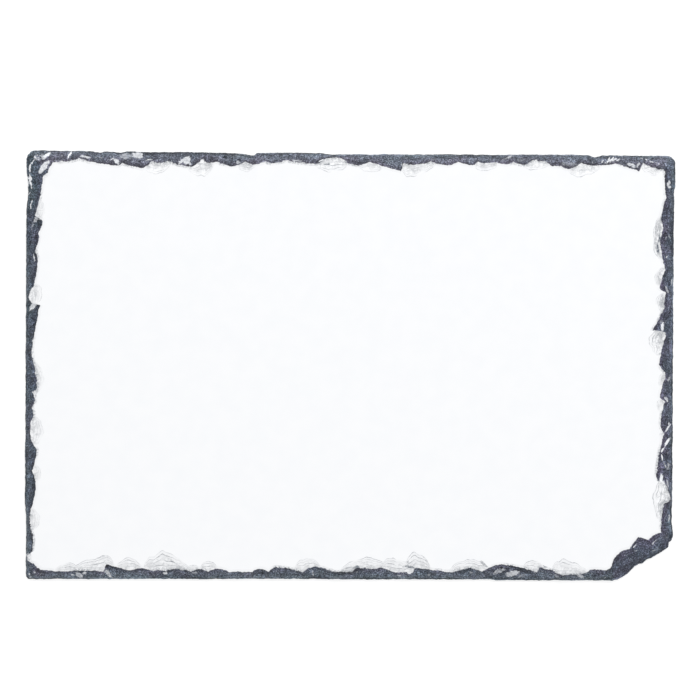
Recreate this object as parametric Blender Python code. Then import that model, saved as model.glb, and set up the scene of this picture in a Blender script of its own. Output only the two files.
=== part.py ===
"""Photo slate: one slab of natural slate with a smooth coated face and an edge chipped by hand.

It lies on its back. X is the long side, Y the short side, +Z up out of the coated face, and the origin
is the middle of the back. Two kinds of scar shape the edge. Coated hollows are wide and shallow: they
were there before the face was coated. Bare chips came last, all round, and show the dark stone.
All sizes below are in millimetres; MM turns them into metres where the mesh is made.
"""

import math

import bmesh
import bpy
from mathutils import Vector, noise

MM = 0.001

# The slab
THICKNESS = 8.0
FOOT = 2.0  # height of the upright part of the edge, below the chips
FOOT_VARIES = 0.9
HOLLOW_SLOPE = 0.17  # fall of a coated hollow for each millimetre towards the edge
LEAST_RIM = 1.0  # from the last bare chip to where the face is flat
BACK_EDGE = 0.5  # how far the flat of the back starts inside the outline
BACK_CHIPS = 1.8  # the largest chips off the back's edge reach this much further
ROUGHNESS = 0.2  # small wander of every edge line
WORN = 0.29  # how deep a corner is worn, as a share of its radius

# The edge in section, from the back up to the face
WIDEST = 0.45  # the outline lies at this share of the foot's height
SET_BACK = 0.2  # the foot's top lies this far inside the outline
LOWER_BREAK = 0.36  # the bare band changes its slope at these two shares of the way across
UPPER_BREAK = 0.72
LOWER_RISE, LOWER_VARIES = 0.42, 0.22  # the share of the rise that is reached there, and its wander
UPPER_RISE, UPPER_VARIES = 0.78, 0.14
STONE_ROWS = 5  # rows of faces up to the coating

# How finely the edge is divided
GAP = 2.3  # the widest step along a side
LEAST_GAP = 0.65
BAND = 20.0  # the inner ring, which the lines across the edge run to
FAN = 22.0  # length at each end of a side over which those lines turn to meet the corner
CORNER_REACH = 5.0  # length beside a corner over which its two sides' chips meet
SETTLING_STEPS = 10

# Corners of the outline, before they are worn round, as (X, Y, radius, reach of the chips there)
LOWER_LEFT = (-150.1, -98.6, 2.0, 5.3)
BREAK_LOW = (121.9, -99.3, 2.0, 6.3)
BREAK_HIGH = (148.9, -79.9, 2.0, 6.0)
UPPER_RIGHT = (150.0, 96.8, 4.4, 5.9)
UPPER_LEFT = (-149.8, 99.3, 4.6, 10.3)

# Each side has its usual reach of the bare chips, its larger round chips and its straight-sided teeth as
# (from, deepest, to, reach), its coated hollows as (from, deepest, to, reach, reach of the bare chips
# there or None), and nicks in the outline as (place, depth). Places are X on the top and bottom sides,
# Y on the left and right sides, and the distance from BREAK_LOW on the broken corner. Reaches run
# inwards from the side's line.
TOP = {
    "reach": 3.4,
    "chips": [
        (-150.0, -141.0, -136.5, 9.6),
        (-144.0, -136.2, -124.7, 5.3),
        (-124.7, -107.6, -103.5, 6.6),
        (-108.5, -96.1, -91.0, 7.7),
        (-94.0, -88.2, -82.5, 5.3),
        (-86.0, -73.4, -68.8, 6.9),
        (-67.9, -65.6, -60.0, 5.2),
        (-63.5, -54.5, -47.5, 6.5),
        (-49.4, -45.3, -37.9, 5.7),
        (-40.6, -36.9, -29.6, 5.0),
        (-29.6, -17.0, -10.0, 5.0),
        (-3.7, 3.7, 9.5, 5.5),
        (20.0, 28.6, 36.9, 5.1),
        (36.9, 44.8, 49.4, 5.2),
        (49.4, 56.3, 58.6, 5.1),
        (58.6, 61.0, 67.0, 4.1),
        (67.0, 71.6, 74.8, 4.7),
        (74.8, 79.4, 84.0, 4.6),
        (84.5, 96.0, 106.0, 5.3),
        (95.0, 100.5, 106.3, 6.6),
        (106.0, 111.8, 123.0, 4.9),
        (134.8, 146.4, 152.0, 6.7),
    ],
    "teeth": [
        (7.0, 23.4, 24.1, 8.3),
        (121.0, 133.7, 134.4, 7.5),
    ],
    "hollows": [
        (-98.8, -90.1, -80.8, 10.4, None),
        (-79.9, -68.3, -61.4, 10.9, None),
        (-55.9, -48.5, -40.6, 8.6, None),
        (-20.3, -8.8, 1.8, 8.7, None),
        (-14.8, -7.4, -1.8, 8.4, 2.0),
        (0.0, 8.8, 20.3, 8.4, None),
        (20.3, 27.2, 42.5, 9.9, None),
        (53.6, 61.4, 70.7, 7.5, None),
        (74.8, 84.1, 96.1, 6.8, None),
        (81.3, 85.4, 92.4, 6.2, 2.4),
        (96.1, 104.8, 120.1, 9.3, None),
        (131.2, 140.9, 148.7, 9.2, None),
    ],
    "nicks": [
        (-149.0, -0.3),
        (-120.0, -0.1),
        (-116.0, 0.6),
        (-113.5, -0.1),
        (-106.7, 0.5),
        (-103.0, -0.2),
        (-92.0, 0.1),
        (-69.0, -0.1),
        (-51.0, 0.4),
        (-44.8, 1.4),
        (-43.2, 0.1),
        (-28.0, -0.2),
        (-14.0, -0.1),
        (-7.0, 0.7),
        (-4.6, 0.5),
        (4.6, 0.1),
        (9.0, 0.4),
        (14.5, 0.0),
        (21.0, 0.3),
        (42.0, 0.0),
        (68.0, 0.1),
        (78.0, -0.2),
        (109.5, -0.3),
        (112.7, 0.9),
        (116.0, -0.1),
        (144.0, -0.2),
    ],
}
BOTTOM = {
    "reach": 3.95,
    "chips": [
        (-154.7, -149.6, -143.2, 10.2),
        (-144.1, -142.2, -135.3, 4.5),
        (-131.2, -121.0, -115.0, 4.4),
        (-103.0, -96.1, -91.0, 5.5),
        (-92.5, -88.5, -84.8, 4.4),
        (-85.4, -80.4, -73.9, 5.1),
        (-73.4, -69.3, -66.0, 5.3),
        (-65.6, -60.5, -56.3, 5.4),
        (-45.3, -42.0, -37.9, 5.5),
        (-37.9, -34.6, -23.1, 6.1),
        (-21.7, -17.1, -7.9, 6.4),
        (0.9, 3.2, 18.0, 6.1),
        (7.4, 14.3, 19.6, 6.0),
        (47.6, 54.5, 61.0, 5.8),
        (60.5, 69.3, 85.0, 7.7),
        (96.5, 98.6, 107.0, 4.4),
        (107.6, 112.7, 121.0, 5.6),
    ],
    "teeth": [
        (-113.8, -112.9, -100.0, 7.3),
        (28.4, 29.6, 46.5, 6.0),
        (85.9, 87.0, 97.0, 6.4),
    ],
    "hollows": [
        (-139.5, -129.8, -122.8, 7.6, None),
        (-132.1, -112.7, -107.1, 10.9, None),
        (-111.8, -101.6, -93.3, 9.8, None),
        (-97.4, -89.1, -71.1, 12.4, None),
        (-78.5, -72.5, -66.5, 7.1, None),
        (-71.1, -66.5, -58.2, 8.7, None),
        (-39.3, -35.6, -31.4, 6.7, None),
        (-28.6, -19.9, -10.6, 10.2, None),
        (-7.4, 7.4, 22.2, 10.6, None),
        (10.2, 19.9, 30.5, 10.4, None),
        (23.1, 30.0, 38.8, 12.7, None),
        (42.5, 56.3, 66.5, 10.0, None),
        (76.2, 84.1, 92.8, 9.4, None),
        (93.5, 97.5, 110.5, 9.6, 2.8),
        (90.5, 97.0, 112.7, 9.2, None),
    ],
    "nicks": [
        (-147.0, 0.2),
        (-120.0, 0.3),
        (-60.0, 0.4),
        (-32.0, 0.6),
        (-8.0, 0.4),
        (30.0, 0.5),
        (65.0, 0.5),
        (67.5, 0.1),
        (71.0, 0.2),
        (95.0, 0.2),
    ],
}
LEFT = {
    "reach": 3.0,
    "chips": [
        (104.1, 91.0, 83.0, 10.2),
        (99.5, 87.5, 67.6, 8.1),
        (69.4, 66.9, 57.0, 7.8),
        (66.0, 59.8, 50.5, 6.2),
        (54.5, 49.1, 34.8, 5.7),
        (3.9, -10.4, -11.8, 5.4),
        (-11.8, -16.0, -18.3, 4.5),
        (-19.2, -22.4, -24.1, 3.9),
        (-31.7, -38.6, -48.3, 5.2),
        (-48.3, -55.2, -64.9, 5.0),
        (-76.0, -80.6, -86.6, 3.6),
    ],
    "teeth": [
        (29.3, 28.1, 8.0, 6.6),
        (-89.5, -93.5, -100.0, 5.6),
    ],
    "hollows": [
        (81.9, 70.8, 63.9, 8.8, None),
        (55.1, 52.4, 49.6, 6.0, None),
        (40.4, 32.5, 27.4, 8.1, None),
        (36.7, 31.6, 28.4, 7.4, 1.6),
        (4.3, -5.8, -16.0, 8.2, None),
        (-11.8, -14.6, -17.8, 5.5, None),
        (-20.6, -29.8, -40.0, 7.8, None),
        (-23.8, -30.3, -37.7, 7.0, 2.1),
        (-42.8, -49.7, -56.6, 7.0, None),
        (-63.5, -70.9, -77.9, 6.4, None),
        (-64.9, -70.9, -76.0, 4.7, 2.0),
        (-86.0, -87.8, -91.0, 3.5, 0.7),
    ],
    "nicks": [
        (92.0, 0.1),
        (81.0, 1.0),
        (72.0, 0.1),
        (28.0, -0.1),
        (-30.0, -0.3),
        (-63.0, -0.4),
        (-68.0, 0.1),
        (-90.0, 0.1),
    ],
}
RIGHT = {
    "reach": 4.4,
    "chips": [
        (92.5, 85.2, 77.8, 5.2),
        (77.3, 68.5, 60.0, 6.7),
        (65.5, 57.9, 44.1, 7.1),
        (44.1, 35.3, 34.1, 7.2),
        (33.4, 28.8, 24.7, 5.1),
        (12.5, 0.5, -3.0, 7.2),
        (-5.8, -14.6, -16.2, 6.8),
        (-16.9, -26.6, -31.7, 6.5),
        (-30.8, -51.4, -55.0, 8.3),
        (-50.0, -54.0, -62.0, 5.3),
        (-62.6, -77.4, -81.6, 6.0),
    ],
    "teeth": [
        (27.4, 16.4, 15.7, 10.4),
    ],
    "hollows": [
        (76.4, 57.9, 44.1, 10.5, None),
        (48.7, 39.9, 32.5, 9.3, None),
        (35.7, 29.3, 21.9, 9.0, None),
        (19.6, 12.2, 0.6, 11.6, None),
        (-0.3, -7.2, -14.1, 7.5, None),
        (-12.7, -17.8, -25.2, 7.9, None),
        (-24.3, -33.5, -43.7, 6.8, None),
        (-48.3, -60.8, -78.8, 9.2, None),
        (-53.0, -61.5, -63.5, 8.0, 1.7),
    ],
    "nicks": [
        (84.0, 0.0),
        (80.0, 0.5),
        (30.0, 0.6),
        (-60.0, 0.5),
        (-72.0, 0.7),
        (-78.5, 0.0),
    ],
}
BREAK = {
    "reach": 5.9,
    "chips": [
        (-4.0, 10.5, 17.0, 9.7),
        (11.0, 20.6, 23.2, 10.3),
        (22.0, 29.8, 37.0, 7.3),
    ],
    "teeth": [],
    "hollows": [],
    "nicks": [
        (2.0, -0.4),
        (4.5, -0.7),
        (7.0, -0.7),
        (11.4, 0.0),
        (13.5, -0.1),
        (15.2, -1.0),
        (18.3, -0.6),
        (19.5, -1.3),
        (28.7, -1.9),
        (30.8, -0.2),
        (32.5, -0.3),
    ],
}

# How the rim of a scar runs from its end to its middle: (1 - share ** bend) ** rise
CHIP_FORM = (1.3, 0.7)
TOOTH_FORM = (1.0, 1.0)
HOLLOW_FORM = (2.0, 0.7)

# Counter-clockwise round the slab, each side with its two corners and the axis its places are read on
X_AXIS, Y_AXIS, ALONG = 0, 1, None
SIDES = [
    (BOTTOM, LOWER_LEFT, BREAK_LOW, X_AXIS),
    (BREAK, BREAK_LOW, BREAK_HIGH, ALONG),
    (RIGHT, BREAK_HIGH, UPPER_RIGHT, Y_AXIS),
    (TOP, UPPER_RIGHT, UPPER_LEFT, X_AXIS),
    (LEFT, UPPER_LEFT, LOWER_LEFT, Y_AXIS),
]

# Colours, linear
SLATE_COLOUR = (0.120, 0.133, 0.160)
COATING_COLOUR = (0.86, 0.87, 0.89)


def wander(x, y, size, seed):
    """Smooth noise between about -1 and 1, with lumps of the given size."""
    return noise.noise(Vector((x / size, y / size, seed)))


def swell(place, scar, form):
    """1 where a scar is deepest, 0 at its two ends and beyond, along a curve of the given form."""
    start, deepest, end = scar[:3]
    far = start if (place - deepest) * (start - deepest) > 0 else end
    share = min(1.0, abs(place - deepest) / abs(far - deepest))
    bend, rise = form
    return (1 - share**bend) ** rise


def nick(place, nicks):
    """Depth of the outline inside the side's line, read straight between the nicks."""
    nicks = sorted(nicks)
    if place <= nicks[0][0]:
        return nicks[0][1]
    for (low, low_depth), (high, high_depth) in zip(nicks, nicks[1:]):
        if place <= high:
            return low_depth + (high_depth - low_depth) * (place - low) / (high - low)
    return nicks[-1][1]


class Side:
    """One side of the outline, with the straight lines across it that carry the mesh's columns."""

    def __init__(self, scars, start, end, axis, before, after):
        self.scars, self.axis = scars, axis
        self.corners = (start, end)
        self.start, self.end = Vector(start[:2]), Vector(end[:2])
        run = self.end - self.start
        self.length = run.length
        self.ahead = run.normalized()
        self.inward = Vector((-self.ahead.y, self.ahead.x))
        self.fan = min(FAN, self.length / 2)
        self.inner_start = self.mitre(self.start - Vector(before[:2]))
        self.inner_end = self.mitre(Vector(after[:2]) - self.end)

    def mitre(self, other):
        """How far along the side the ring BAND inside it has its corner."""
        turn = self.ahead.angle(other.normalized())
        return BAND * math.tan(turn / 2)

    def point(self, along, depth):
        """The point at this depth on the line across the edge that starts at this place."""
        shift = 0.0
        if along < self.fan:
            shift = self.inner_start * (1 - along / self.fan)
        elif along > self.length - self.fan:
            shift = -self.inner_end * (1 - (self.length - along) / self.fan)
        share = depth / BAND
        return self.start + self.ahead * (along + shift * share) + self.inward * depth

    def place(self, point):
        """The coordinate that the side's scars are listed by."""
        if self.axis is ALONG:
            return (point - self.start).dot(self.ahead)
        return point[self.axis]

    def along_of(self, place, depth):
        """Where the line across the edge starts that meets a place of the lists at this depth."""
        along = place
        if self.axis is not ALONG:
            along = (place - self.start[self.axis]) / self.ahead[self.axis]
        share = depth / BAND
        start_lean = self.inner_start * share
        end_lean = self.inner_end * share
        from_end = self.length - along
        if along < self.fan:
            return (along - start_lean) / (1 - start_lean / self.fan)
        if from_end < self.fan:
            return self.length - (from_end - end_lean) / (1 - end_lean / self.fan)
        return along

    def by_corner(self, along):
        """The corner nearest to this place, and 1 at it falling to 0 at CORNER_REACH from it."""
        nearer_start = along < self.length / 2
        corner = self.corners[0] if nearer_start else self.corners[1]
        away = along if nearer_start else self.length - along
        return corner, away, max(0.0, 1 - away / CORNER_REACH) ** 2

    def outline(self, along):
        """Depth of the outline inside the side's line, with its nicks and its worn corners."""
        point = self.point(along, 0)
        corner, away, share = self.by_corner(along)
        depth = nick(self.place(point), self.scars["nicks"]) * (1 - share)
        radius = corner[2]
        worn = WORN * radius * max(0.0, 1 - away / radius) ** 2
        return depth + worn + ROUGHNESS * wander(point.x, point.y, 4, 1)

    def settle(self, along, reach, reach_at):
        """The reach that is asked for at its own place: a line across the edge leans near a corner."""
        for _ in range(SETTLING_STEPS):
            reach = (reach + reach_at(self.place(self.point(along, reach)))) / 2
        return reach

    def bare_reach(self, along):
        """Depth of the line where the bare chips end and the coating begins."""
        usual = self.scars["reach"]
        corner, _, share = self.by_corner(along)

        def reach_at(place):
            reach = usual
            for kind, form in (("chips", CHIP_FORM), ("teeth", TOOTH_FORM)):
                for scar in self.scars[kind]:
                    reach = max(reach, usual + (scar[3] - usual) * swell(place, scar, form))
            for hollow in self.scars["hollows"]:
                if hollow[4]:
                    reach -= max(0.0, reach - hollow[4]) * swell(place, hollow, CHIP_FORM)
            return reach + (corner[3] - reach) * share

        reach = self.settle(along, usual, reach_at)
        point = self.point(along, reach)
        return reach + ROUGHNESS * wander(point.x, point.y, 3, 2)

    def hollow_reach(self, along, bare):
        """Depth of the line where the coated hollows end and the face is flat."""

        def reach_at(place):
            found = [hollow[3] * swell(place, hollow, HOLLOW_FORM) for hollow in self.scars["hollows"]]
            return max([bare, *found])

        return max(self.settle(along, bare, reach_at), bare + LEAST_RIM)

    def stations(self):
        """Places along the side for the mesh's columns: where a scar or nick has a point, and between."""
        wanted = [0.0]
        usual = self.scars["reach"]
        marks = [(place, 0.0) for place, _ in self.scars["nicks"]]
        for scar in self.scars["chips"] + self.scars["teeth"] + self.scars["hollows"]:
            start, deepest, end, reach = scar[:4]
            marks += [(start, usual), (deepest, reach), (end, usual)]
        for along in sorted(self.along_of(place, depth) for place, depth in marks):
            if along - wanted[-1] > LEAST_GAP and self.length - along > LEAST_GAP:
                wanted.append(along)
        wanted.append(self.length)
        for low, high in zip(wanted, wanted[1:]):
            steps = math.ceil((high - low) / GAP)
            for step in range(steps):
                yield low + (high - low) * step / steps


def column(side, along):
    """One line of points across the edge, from the flat of the back over the outline to the face."""
    edge = side.outline(along)
    bare = side.bare_reach(along)
    hollow = side.hollow_reach(along, bare)
    on_edge = side.point(along, edge)
    foot = FOOT + FOOT_VARIES * wander(on_edge.x, on_edge.y, 14, 3)
    back = BACK_EDGE + BACK_CHIPS * max(0.0, wander(on_edge.x, on_edge.y, 18, 4))
    rim = THICKNESS - HOLLOW_SLOPE * max(0.0, hollow - bare - LEAST_RIM)
    rise = rim - foot
    lower = LOWER_RISE + LOWER_VARIES * wander(on_edge.x, on_edge.y, 6, 5)
    upper = UPPER_RISE + UPPER_VARIES * wander(on_edge.x, on_edge.y, 5, 6)
    across = bare - edge
    rows = [
        (edge + back, 0.0),
        (edge, WIDEST * foot),
        (edge + SET_BACK, foot),
        (edge + LOWER_BREAK * across, foot + lower * rise),
        (edge + UPPER_BREAK * across, foot + upper * rise),
        (bare, rim),
        ((bare + hollow) / 2, (rim + 2 * THICKNESS) / 3),
        (hollow, THICKNESS),
    ]
    return [(*side.point(along, depth), height) for depth, height in rows]


def principled(name, colour, roughness):
    """A plain material of one colour and roughness."""
    material = bpy.data.materials.new(name)
    material.use_nodes = True
    shader = material.node_tree.nodes["Principled BSDF"]
    shader.inputs["Base Color"].default_value = (*colour, 1)
    shader.inputs["Roughness"].default_value = roughness
    shader.inputs["Metallic"].default_value = 0
    material.diffuse_color = (*colour, 1)
    return material


def set_ring(face, ring):
    """Puts the corners of a face on a ring of points."""
    for corner, point in zip(face.loops, ring):
        corner.vert.co = Vector(point) * MM


def make_slab():
    """The whole slab: a ring of columns, extruded row by row from the back's flat up to the face's."""
    sides = []
    for index, (scars, start, end, axis) in enumerate(SIDES):
        before = SIDES[index - 1][1]
        after = SIDES[(index + 1) % len(SIDES)][2]
        sides.append(Side(scars, start, end, axis, before, after))
    columns = [column(side, along) for side in sides for along in side.stations()]
    rings = list(zip(*columns))
    outline = rings[1]
    middle_x = (min(p[0] for p in outline) + max(p[0] for p in outline)) / 2
    middle_y = (min(p[1] for p in outline) + max(p[1] for p in outline)) / 2
    rings = [[(x - middle_x, y - middle_y, z) for x, y, z in ring] for ring in rings]

    mesh = bpy.data.meshes.new("slate_slab")
    slab = bpy.data.objects.new("slate_slab", mesh)
    bpy.context.collection.objects.link(slab)
    mesh.materials.append(principled("slate", SLATE_COLOUR, 0.75))
    mesh.materials.append(principled("coating", COATING_COLOUR, 0.3))

    bm = bmesh.new()
    bmesh.ops.create_circle(bm, cap_ends=True, radius=MM, segments=len(columns))
    bm.faces.ensure_lookup_table()
    top = bm.faces[0]
    set_ring(top, rings[0])
    for row, ring in enumerate(rings[1:], start=1):
        top = bmesh.ops.extrude_discrete_faces(bm, faces=[top])["faces"][0]
        set_ring(top, ring)
        for edge in top.edges:
            for face in edge.link_faces:
                face.material_index = 0 if row <= STONE_ROWS else 1
    top.material_index = 1
    bmesh.ops.holes_fill(bm, edges=[edge for edge in bm.edges if edge.is_boundary], sides=0)
    bmesh.ops.recalc_face_normals(bm, faces=bm.faces)
    bm.to_mesh(mesh)
    bm.free()
    return slab


def main():
    for old in list(bpy.data.objects):
        bpy.data.objects.remove(old)
    make_slab()


main()
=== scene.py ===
# %% [markdown]
# # A photo slate, dressed around its frame
#
# The thing is one slab of natural slate, about 300 by 199 mm and 8 mm thick, lying on its back. A smooth
# white coating covers its face, ready to be printed. Its edge is chipped by hand all round, so a narrow band
# of bare, dark stone frames the white, and one corner is broken off. The frame holds a plain solid of this
# slab. The lesson makes the fine one in its place: first the lines that run round the edge, then the heights
# between them, then the mesh, the stone, the coating and the light.

# %% Load the frame
import math
from types import SimpleNamespace

import bmesh
import bpy
import numpy as np
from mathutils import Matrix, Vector, noise


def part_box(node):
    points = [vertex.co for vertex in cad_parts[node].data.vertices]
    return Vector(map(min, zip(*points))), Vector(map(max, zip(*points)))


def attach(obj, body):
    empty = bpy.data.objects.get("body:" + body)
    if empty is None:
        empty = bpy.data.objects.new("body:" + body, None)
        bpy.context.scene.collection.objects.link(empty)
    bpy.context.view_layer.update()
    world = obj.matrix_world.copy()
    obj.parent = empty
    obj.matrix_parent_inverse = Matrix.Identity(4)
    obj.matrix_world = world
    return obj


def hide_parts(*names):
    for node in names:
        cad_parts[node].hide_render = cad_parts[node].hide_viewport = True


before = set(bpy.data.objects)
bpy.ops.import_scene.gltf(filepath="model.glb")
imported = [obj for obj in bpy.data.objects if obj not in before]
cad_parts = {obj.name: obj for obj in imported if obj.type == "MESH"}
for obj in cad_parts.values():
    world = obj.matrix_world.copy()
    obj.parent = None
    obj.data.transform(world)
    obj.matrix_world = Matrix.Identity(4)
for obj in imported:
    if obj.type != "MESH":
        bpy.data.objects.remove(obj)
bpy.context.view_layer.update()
slab_low, slab_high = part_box("slate_slab")
print("frame:", [round(1000 * side, 1) for side in slab_high - slab_low], "mm")

# %% [markdown]
# ## Sizes
#
# The slab is described in millimetres, and MM turns them into metres where the mesh is made. The edge is
# told as depths: how far inside the side's straight line something lies. The first group of numbers made
# the plain solid as well, so the two have the same form. The second group is new. It says how close
# together the columns are that the mesh is made of, how much its lines wander in small crumbs, and how
# thick the leaves and how wide the facets of the broken stone are.

# %% The slab's sizes
MM = 0.001
THICKNESS = slab_high.z / MM
FOOT = 2.0  # height of the upright part of the edge, below the chips
FOOT_VARIES = 0.9
HOLLOW_SLOPE = 0.17  # fall of a coated hollow for each millimetre towards the edge
LEAST_RIM = 1.0  # from the last bare chip to where the face is flat
BACK_EDGE = 0.5  # how far the flat of the back starts inside the outline
BACK_CHIPS = 1.8  # the largest chips off the back's edge reach this much further
ROUGHNESS = 0.2  # small wander of every edge line
WORN = 0.29  # how far a worn corner stands back, as a share of its radius
BAND = 20.0  # the inner ring, which the columns run to
FAN = 22.0  # length at each end of a side over which the columns turn to meet the corner
CORNER_REACH = 5.0  # length beside a corner over which its two sides' chips meet
SETTLING_STEPS = 10

COLUMN_GAP = 0.44  # between the mesh's columns
FINE_OUTLINE = 0.18  # crumbs along the outline
FINE_LINE = 0.16  # crumbs along the line where the coating ends
BACK_CRUMBS = 0.25  # wander of the back's edge
HOLLOW_TORN = 0.22  # wander of a hollow's inner line, as a share of the hollow's width
LAYER = 0.75  # thickness of the leaves that slate breaks into
FACET = 2.6  # width of one flat of broken stone
print("slab", round(THICKNESS, 2), "mm thick, a column every", COLUMN_GAP, "mm")

# %% [markdown]
# ## The scars
#
# Two kinds of scar shape the edge. Coated hollows are wide and shallow: they were there before the face was
# coated, so they are white. Bare chips came last and show the stone. Most bare chips are round, and a few,
# the teeth, have one steep end. A scar is written as (from, deepest, to, reach), and some hollows add the
# reach that they leave to the bare chips. A nick is a dent in the outline, (place, depth). Places are X on
# the top and bottom sides, Y on the left and right ones, and the way along the line on the broken corner.
# A corner is (X, Y, how far it is worn round, reach of the chips there).
#
# The five sides of one stone don't look alike, because each was struck and lit in its own way. So a side
# also says how light its band is (shade: partly the stone's own tone, partly painted shade of how the side
# is lit), how much it leans to purple, how rough it broke (relief), how strong the painted shade lines at
# the steps of its hollows are, how much painted shade lies in its hollows, and the usual reach of its chips.

# %% Corners
LOWER_LEFT = (-150.1, -98.6, 2.0, 5.3)
BREAK_LOW = (121.9, -99.3, 2.0, 6.3)
BREAK_HIGH = (148.9, -79.9, 2.0, 6.0)
UPPER_RIGHT = (150.0, 96.8, 4.4, 5.9)
UPPER_LEFT = (-149.8, 99.3, 4.6, 10.3)

# %% The top side
TOP = {
    "shade": 1.005, "purple": 0.0, "relief": 1.0, "rings": 0.85, "hollow_shade_strength": 1.05, "reach": 3.4,
    "chips": [
        (-150.0, -141.0, -136.5, 9.6), (-144.0, -136.2, -124.7, 5.3), (-124.7, -107.6, -103.5, 6.6),
        (-108.5, -96.1, -91.0, 7.7), (-94.0, -88.2, -82.5, 5.3), (-86.0, -73.4, -68.8, 6.9),
        (-67.9, -65.6, -60.0, 5.2), (-63.5, -54.5, -47.5, 6.5), (-49.4, -45.3, -37.9, 5.7),
        (-40.6, -36.9, -29.6, 5.0), (-29.6, -17.0, -10.0, 5.0), (-3.7, 3.7, 9.5, 5.5),
        (20.0, 28.6, 36.9, 5.1), (36.9, 44.8, 49.4, 5.2), (49.4, 56.3, 58.6, 5.1), (58.6, 61.0, 67.0, 4.1),
        (67.0, 71.6, 74.8, 4.7), (74.8, 79.4, 84.0, 4.6), (84.5, 96.0, 106.0, 5.3),
        (95.0, 100.5, 106.3, 6.6), (106.0, 111.8, 123.0, 4.9), (134.8, 146.4, 152.0, 6.7),
    ],
    "teeth": [
        (7.0, 23.4, 24.1, 8.3), (121.0, 133.7, 134.4, 7.5),
    ],
    "hollows": [
        (-98.8, -90.1, -80.8, 10.4), (-79.9, -68.3, -61.4, 10.9), (-55.9, -48.5, -40.6, 8.6),
        (-20.3, -8.8, 1.8, 8.7), (-14.8, -7.4, -1.8, 8.4, 2.0), (0.0, 8.8, 20.3, 8.4),
        (20.3, 27.2, 42.5, 9.9), (53.6, 61.4, 70.7, 7.5), (74.8, 84.1, 96.1, 6.8),
        (81.3, 85.4, 92.4, 6.2, 2.4), (96.1, 104.8, 120.1, 9.3), (131.2, 140.9, 148.7, 9.2),
    ],
    "nicks": [
        (-149.0, -0.3), (-120.0, -0.1), (-116.0, 0.6), (-113.5, -0.1), (-106.7, 0.5), (-103.0, -0.2),
        (-92.0, 0.1), (-69.0, -0.1), (-51.0, 0.4), (-44.8, 1.4), (-43.2, 0.1), (-28.0, -0.2), (-14.0, -0.1),
        (-7.0, 0.7), (-4.6, 0.5), (4.6, 0.1), (9.0, 0.4), (14.5, 0.0), (21.0, 0.3), (42.0, 0.0),
        (68.0, 0.1), (78.0, -0.2), (109.5, -0.3), (112.7, 0.9), (116.0, -0.1), (144.0, -0.2),
    ],
}
print("top:", len(TOP["chips"]) + len(TOP["teeth"]), "bare chips and", len(TOP["hollows"]), "hollows")

# %% The bottom side
BOTTOM = {
    "shade": 0.92, "purple": -0.07, "relief": 1.0, "rings": 0.95, "hollow_shade_strength": 0.7, "reach": 3.95,
    "chips": [
        (-154.7, -149.6, -143.2, 10.2), (-144.1, -142.2, -135.3, 4.5), (-131.2, -121.0, -115.0, 4.4),
        (-103.0, -96.1, -91.0, 5.5), (-92.5, -88.5, -84.8, 4.4), (-85.4, -80.4, -73.9, 5.1),
        (-73.4, -69.3, -66.0, 5.3), (-65.6, -60.5, -56.3, 5.4), (-45.3, -42.0, -37.9, 5.5),
        (-37.9, -34.6, -23.1, 6.1), (-21.7, -17.1, -7.9, 6.4), (0.9, 3.2, 18.0, 6.1),
        (7.4, 14.3, 19.6, 6.0), (47.6, 54.5, 61.0, 5.8), (60.5, 69.3, 85.0, 7.7), (96.5, 98.6, 107.0, 4.4),
        (107.6, 112.7, 121.0, 5.6),
    ],
    "teeth": [
        (-113.8, -112.9, -100.0, 7.3), (28.4, 29.6, 46.5, 6.0), (85.9, 87.0, 97.0, 6.4),
    ],
    "hollows": [
        (-139.5, -129.8, -122.8, 7.6), (-132.1, -112.7, -107.1, 10.9), (-111.8, -101.6, -93.3, 9.8),
        (-97.4, -89.1, -71.1, 12.4), (-78.5, -72.5, -66.5, 7.1), (-71.1, -66.5, -58.2, 8.7),
        (-39.3, -35.6, -31.4, 6.7), (-28.6, -19.9, -10.6, 10.2), (-7.4, 7.4, 22.2, 10.6),
        (10.2, 19.9, 30.5, 10.4), (23.1, 30.0, 38.8, 12.7), (42.5, 56.3, 66.5, 10.0),
        (76.2, 84.1, 92.8, 9.4), (93.5, 97.5, 110.5, 9.6, 2.8), (90.5, 97.0, 112.7, 9.2),
    ],
    "nicks": [
        (-147.0, 0.2), (-120.0, 0.3), (-60.0, 0.4), (-32.0, 0.6), (-8.0, 0.4), (30.0, 0.5), (65.0, 0.5),
        (67.5, 0.1), (71.0, 0.2), (95.0, 0.2),
    ],
}
print("bottom:", len(BOTTOM["chips"]) + len(BOTTOM["teeth"]), "bare chips")

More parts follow.
